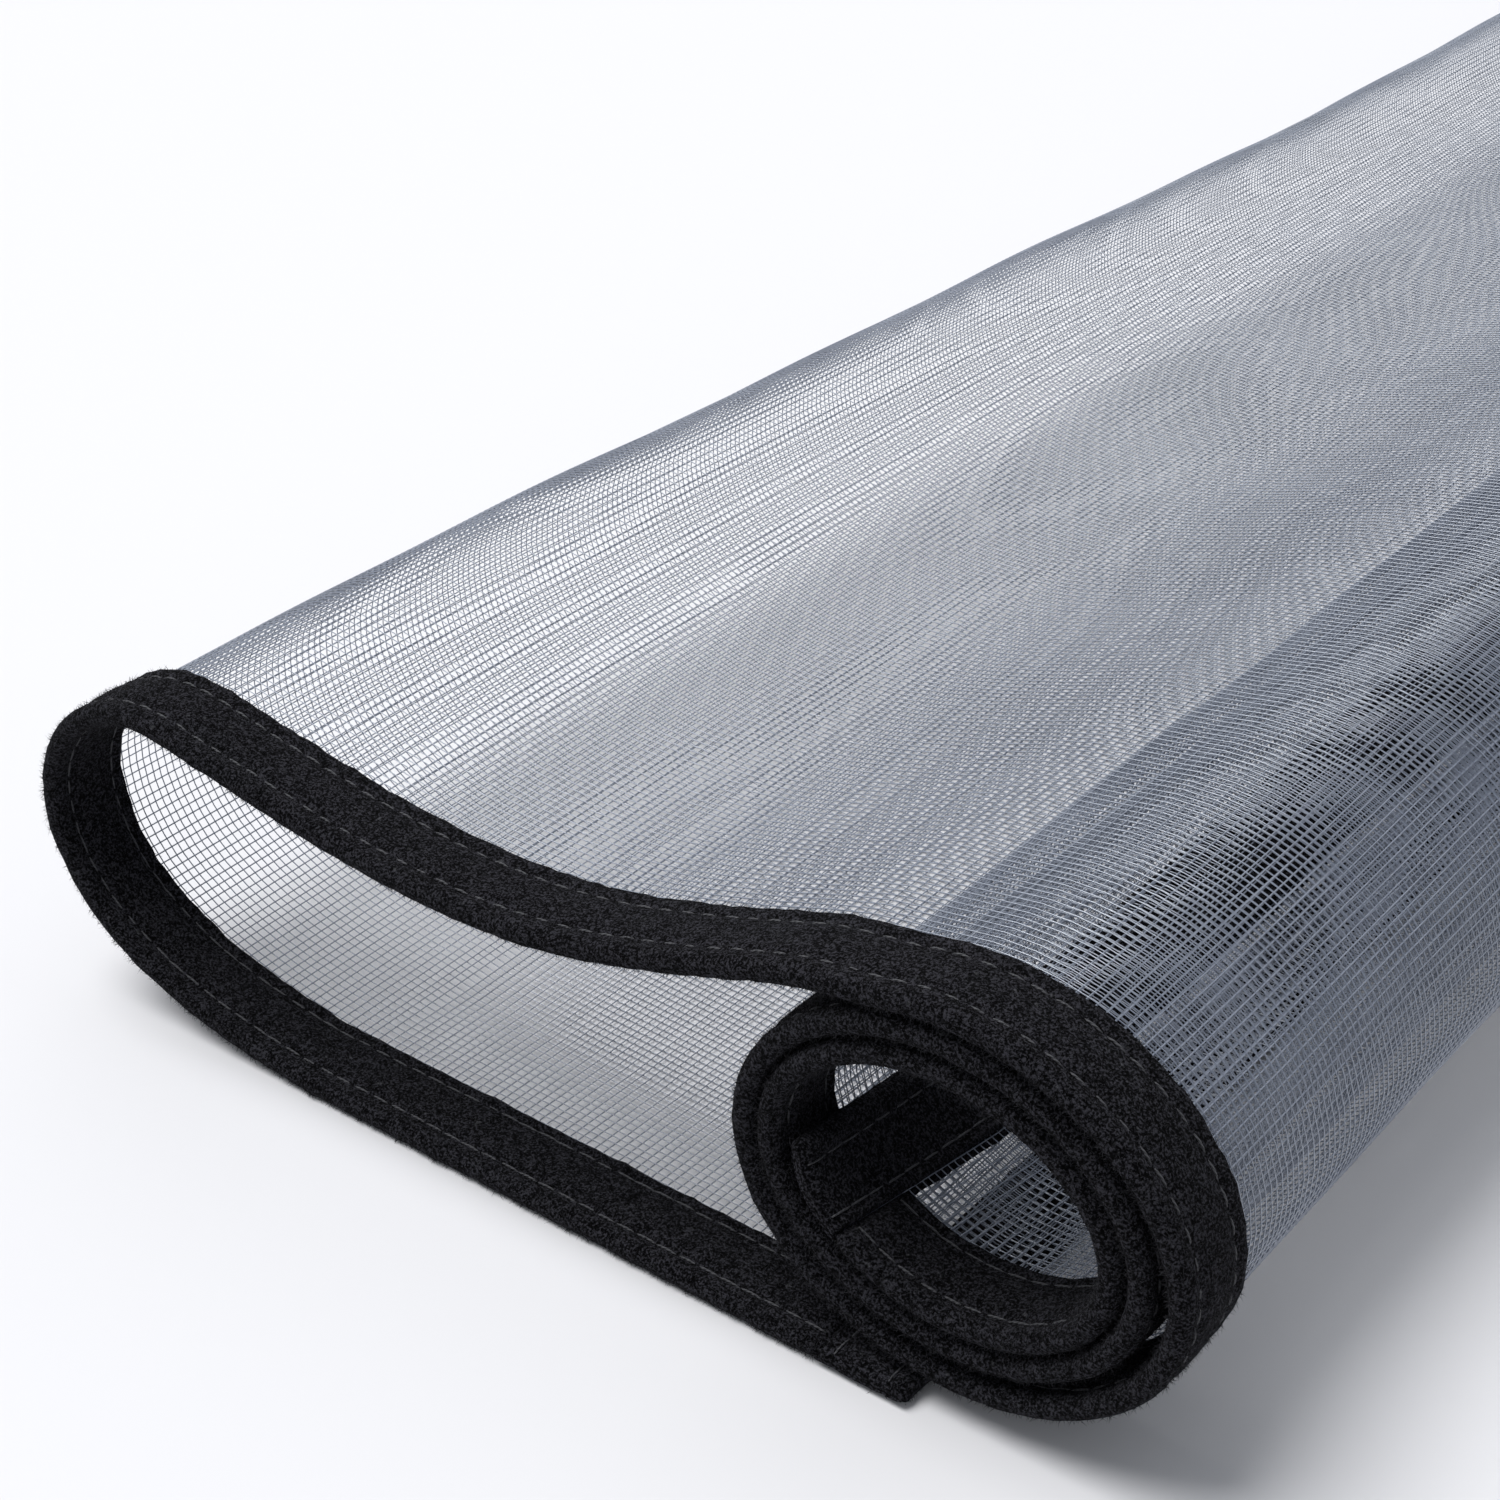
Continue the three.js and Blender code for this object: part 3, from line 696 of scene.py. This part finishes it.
# %% Tapes
def make_tape(name, edge):
    """The closed U of one tape: rings of the outside contour and, backwards, the inside one. Both
    are drawn together towards the mesh where the tape ends."""
    a, along = round_and_along(edge)
    w_out, h_out = tape_face(a[None, :], along, True)
    w_in, h_in = tape_face(a[None, :], along, False)
    h_out = h_out + rng.normal(0, FUZZ, w_out.shape) * np.sign(h_out)
    to_end = np.minimum(along - edge["run"][0], edge["run"][1] - along)
    pressed = 1 - smooth(to_end / PRESSED_RUN)
    h_in = h_in * (1 - PRESSED_IN * pressed)
    h_out = h_out * (1 - PRESSED_OUT * pressed**2)
    w_out = w_out + 0.5 * pressed**2 * (w_out < HALF)
    w_in, h_in, w_out, h_out = np.broadcast_arrays(w_in, h_in, w_out, h_out)
    w = np.concatenate([w_out, w_in[:, ::-1]], axis=1)
    h = np.concatenate([h_out, h_in[:, ::-1]], axis=1)
    points = on_edge(edge, along, w, h)
    rings, sides = w.shape
    quads = strand_faces(1, rings, sides)
    lay, bake = strand_maps(along.T, sides, 0, 1)
    k = np.arange(len(a) - 1)
    cap = np.stack([k, k + 1, sides - 2 - k, sides - 1 - k], axis=1)
    caps = np.concatenate([cap, cap[:, ::-1] + (rings - 1) * sides])
    corner = np.array([(1, 1), (9, 1), (9, 9), (1, 9)]) * 0.0001
    lay = np.concatenate([lay, np.zeros((len(caps), 4, 2))])
    bake = np.concatenate([bake, np.tile(corner, (len(caps), 1, 1))])
    faces = np.concatenate([quads, caps])
    if edge["across"] == (edge["sign"] > 0):
        faces, lay, bake = turned_over(faces, lay, bake)
    return new_piece(name, points.reshape(-1, 3), [faces], {"Lay": lay, "OFBake": bake}, FLEECE)


tapes = {key: make_tape(f"{key}_fleece", edge) for key, edge in EDGES.items()}

# %% [markdown]
# ## The pile
# Fleece has no sharp outline: short fibres stand up from it, lean all ways and catch the light at
# the fold. Blender's hair system would comb them, but hair isn't a mesh and is lost when the model
# is handed on. Each fibre here is a closed spike of four faces, and there are tens of thousands.
# About one in eight is drawn to the fold, where the outline is.

# %% Pile
FIBRES = {"front": 38000, "back": 32000, "outer_end": 20000, "inner_end": 20000}
SPIKE = np.array([[0, 1, 3], [1, 2, 3], [2, 0, 3], [0, 2, 1]])   # corners 0 to 2 root, 3 tip
DRAWN_TO_FOLD = 0.12
ROOT_DEPTH = 0.1                                 # a spike starts this far inside the tape's face


def make_pile(name, edge, count):
    """Spikes on the tape's outside: a random root, a tip that leans by a random step along and
    across, and a triangle round the root, square to the spike."""
    a = rng.uniform(0.2, CONTOUR_END - 0.2, count)
    fold = TAPE - HALF + np.pi * HALF / 2
    drawn = rng.random(count) < DRAWN_TO_FOLD
    a = np.where(drawn, fold + rng.normal(0, 2.2, count), a)
    along = rng.uniform(edge["run"][0] + 0.3, edge["run"][1] - 0.3, count)
    w, h = tape_face(a, along, True)
    length = rng.uniform(0.35, 0.85, count)
    w_off, h_off = tape_face(a + 0.05, along, True)
    flat_w, flat_h = w_off - w, h_off - h
    norm = np.hypot(flat_w, flat_h) + 1e-6
    out_w, out_h = -flat_h / norm, flat_w / norm
    facing = np.sign(out_w * (w - HALF) + out_h * h)
    out_w, out_h = out_w * facing, out_h * facing
    lean = rng.normal(0, 0.75, (2, count))
    tip_w = w + length * (out_w + lean[0] * flat_w / norm)
    tip_h = h + length * (out_h + lean[0] * flat_h / norm)
    root = on_edge(edge, along, w - ROOT_DEPTH * out_w, h - ROOT_DEPTH * out_h)
    tip = on_edge(edge, along + length * lean[1], tip_w, tip_h)
    spine = tip - root
    spine /= np.linalg.norm(spine, axis=1, keepdims=True) + 1e-12
    side = np.cross(spine, rng.normal(0, 1, (count, 3)))
    side /= np.linalg.norm(side, axis=1, keepdims=True) + 1e-12
    other = np.cross(spine, side)
    thick = rng.uniform(0.035, 0.06, count)[:, None] * MM
    turns = np.radians([0, 120, 240])
    base = [root + thick * (np.cos(t) * side + np.sin(t) * other) for t in turns]
    points = np.stack([*base, tip], axis=1).reshape(-1, 3)
    faces = (np.arange(count)[:, None, None] * 4 + SPIKE).reshape(-1, 3)
    columns = math.ceil(math.sqrt(count))
    cell = np.stack(np.divmod(np.arange(count), columns), axis=1)[:, None, None, :]
    corner = np.array([[[0.1, 0.1], [0.9, 0.1], [0.5, 0.9]]])
    bake = (cell + corner[:, None]) / columns
    bake = np.broadcast_to(bake, (count, 4, 3, 2))
    up = (SPIKE == 3).astype(float)
    lay = np.broadcast_to(np.stack([up, 0 * up], axis=-1), (count, 4, 3, 2))
    return new_piece(name, points, [faces], {"Lay": lay, "OFBake": bake}, PILE)


piles = {key: make_pile(f"{key}_pile", edge, FIBRES[key]) for key, edge in EDGES.items()}

# %% [markdown]
# ## Lockstitch
# A sewing machine leaves two threads in every row: the needle's on the outer face, as dashes that
# dive into the cloth, and the bobbin's on the inner face, which lies almost unbroken. Text-book
# stitches are one tube, copied along a path by an Array modifier. Here each dash is worked out
# where it lies, so that it follows the roll and sits in the groove that it has pulled.

# %% Stitches
PITCH = 3.8
DASH = {"needle": 2.9, "bobbin": 4.0}            # the bobbin's dashes lap, so its line is unbroken
THREAD_RADIUS = 0.18
PROUD = 0.14                                     # how far a dash's middle stands above its groove
SIDES, RINGS = 6, 5


def make_stitches(name, edge, row, face):
    """One row of dashes: each is a tube along the row whose height above the groove follows a sine
    of its length to a power under a half, so that it lies flat and dives at both ends."""
    side = 1 if face == "needle" else -1
    start, end = edge["run"]
    first = np.arange(start + 0.8, end - PITCH, PITCH)
    first = first + rng.normal(0, 0.09, len(first))
    share = np.linspace(0, 1, RINGS)
    along = first[:, None] + DASH[face] * share * (1 + rng.normal(0, 0.03, len(first)))[:, None]
    wander = 0.12 * np.sin(along / 29 + row) + rng.normal(0, 0.05, len(first))[:, None]
    groove = HALF - STITCH_DIP
    rise = np.sin(np.pi * np.clip(share, 0.02, 0.98)) ** 0.45
    height = side * (groove - THREAD_RADIUS + (THREAD_RADIUS + PROUD) * rise)
    turn = np.arange(SIDES) * math.tau / SIDES
    radius = THREAD_RADIUS * (0.55 + 0.45 * rise)[None, :, None]
    w = row + wander[..., None] + radius * np.cos(turn)
    h = height[None, :, None] + radius * 0.9 * np.sin(turn)
    points = on_edge(edge, along[..., None], w, h)
    quads = strand_faces(len(first), RINGS, SIDES)
    lay, bake = strand_maps(along, SIDES, 0, len(first))
    ring = np.arange(SIDES)
    ends = (np.arange(len(first)) * RINGS * SIDES)[:, None]
    caps = np.concatenate([ends + ring[::-1], ends + (RINGS - 1) * SIDES + ring])
    cap_uv = np.zeros((len(caps), SIDES, 2))
    if edge["across"] != (edge["sign"] > 0):
        quads, lay, bake = turned_over(quads, lay, bake)
        caps = caps[:, ::-1]
    maps = {"Lay": np.concatenate([lay.ravel(), cap_uv.ravel()]),
            "OFBake": np.concatenate([bake.ravel(), cap_uv.ravel() + 0.0005])}
    return new_piece(name, points.reshape(-1, 3), [quads, caps], maps, THREAD)


stitches = {}
for key, edge in EDGES.items():
    for row_name, row in ROWS.items():
        for face in DASH:
            node = f"{key}_{row_name}_row_{face}_thread"
            stitches[node] = make_stitches(f"{key}_{row_name}_{face}_stitches", edge, row, face)
print(len(stitches), "rows of stitches")

# %% [markdown]
# ## Each piece on the body, in place of its CAD node
# Each new piece rides on the part's only body and hides the CAD node that it stands for. The mesh
# is a free sheet of cloth with the tapes sewn round it, and its five bands all hide its one CAD
# node.

# %% Attach and hide
for piece in [*mesh_bands, *tapes.values(), *piles.values(), *stitches.values()]:
    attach(piece, "root")
for piece in mesh_bands:
    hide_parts("mesh_panel")
for key, edge in EDGES.items():
    for piece in (tapes[key], piles[key]):
        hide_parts(f"{key}_tape")
for node, piece in stitches.items():
    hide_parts(node)
print("every CAD node is replaced:", all(o.hide_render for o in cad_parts.values()))

# %% [markdown]
# ## Floor, light and camera
# The floor is one big pale plane of paper.


# %% Floor
def pale_floor():
    """Off-white paper: one colour, with a very faint unevenness in its roughness."""
    tree, shader, material = new_finish(
        "pale_floor", Base_Color=(0.71, 0.705, 0.72, 1), Specular_IOR_Level=0.2)
    mottle = use_effect(tree, MOTTLE, {"Specks per metre": 40.0, "Contrast": 1.0})
    tree.links.new(remap(tree, mottle.outputs["Mask"], 0, 1, 0.55, 0.65), shader.inputs["Roughness"])
    return material


REACH = 6.0
floor_points = REACH * np.array([(-1, -1, 0), (1, -1, 0), (1, 1, 0), (-1, 1, 0)])
floor_maps = {"Lay": floor_points[:, :2]}
floor = new_piece("floor", floor_points, [np.array([[0, 1, 2, 3]])], floor_maps, pale_floor())

# %% [markdown]
# A pale world lights it from all sides. Two broad lamps, both from the loop's side and most of all
# from above, give the soft shadow at the roll's side. Suns are used and not area lamps, because a
# sun lights the whole floor evenly.

# %% Light
world = bpy.data.worlds.new("studio")
world.use_nodes = True
world.node_tree.nodes["Background"].inputs["Color"].default_value = (0.9, 0.94, 1.0, 1)
world.node_tree.nodes["Background"].inputs["Strength"].default_value = 0.46
bpy.context.scene.world = world


def soft_sun(name, travels, spread, power):
    """Light that travels in one direction everywhere, softened as by a source that many degrees
    across, so that the floor is evenly bright."""
    lamp = bpy.data.lights.new(name, "SUN")
    lamp.angle, lamp.energy = math.radians(spread), power
    holder = bpy.data.objects.new(name, lamp)
    bpy.context.scene.collection.objects.link(holder)
    x, y, z = travels
    holder.rotation_euler = (math.atan2(math.hypot(x, y), -z), 0, math.atan2(-x, y))
    return holder


soft_sun("key", (0.36, 0.2, -0.9), 40, 3.0)
soft_sun("rim", (0.5, -0.6, -0.6), 60, 0.5)
print("a soft key from above and a broad rim light from behind the loop")

# %% [markdown]
# The camera stands low off the front corner, beyond the roll, and looks along the top sheet.

# %% Camera
camera_data = bpy.data.cameras.new("camera")
camera_data.sensor_width = 36
camera_data.lens = 69.6
camera = bpy.data.objects.new("camera", camera_data)
bpy.context.scene.collection.objects.link(camera)
camera.location = (ORIGIN + np.array([160, -243, 280])) * MM
camera.rotation_euler = (math.radians(58.9), 0, math.radians(37.5))
bpy.context.scene.camera = camera
bpy.context.scene.view_settings.view_transform = "Standard"
print("camera at", [round(x, 3) for x in camera.location])
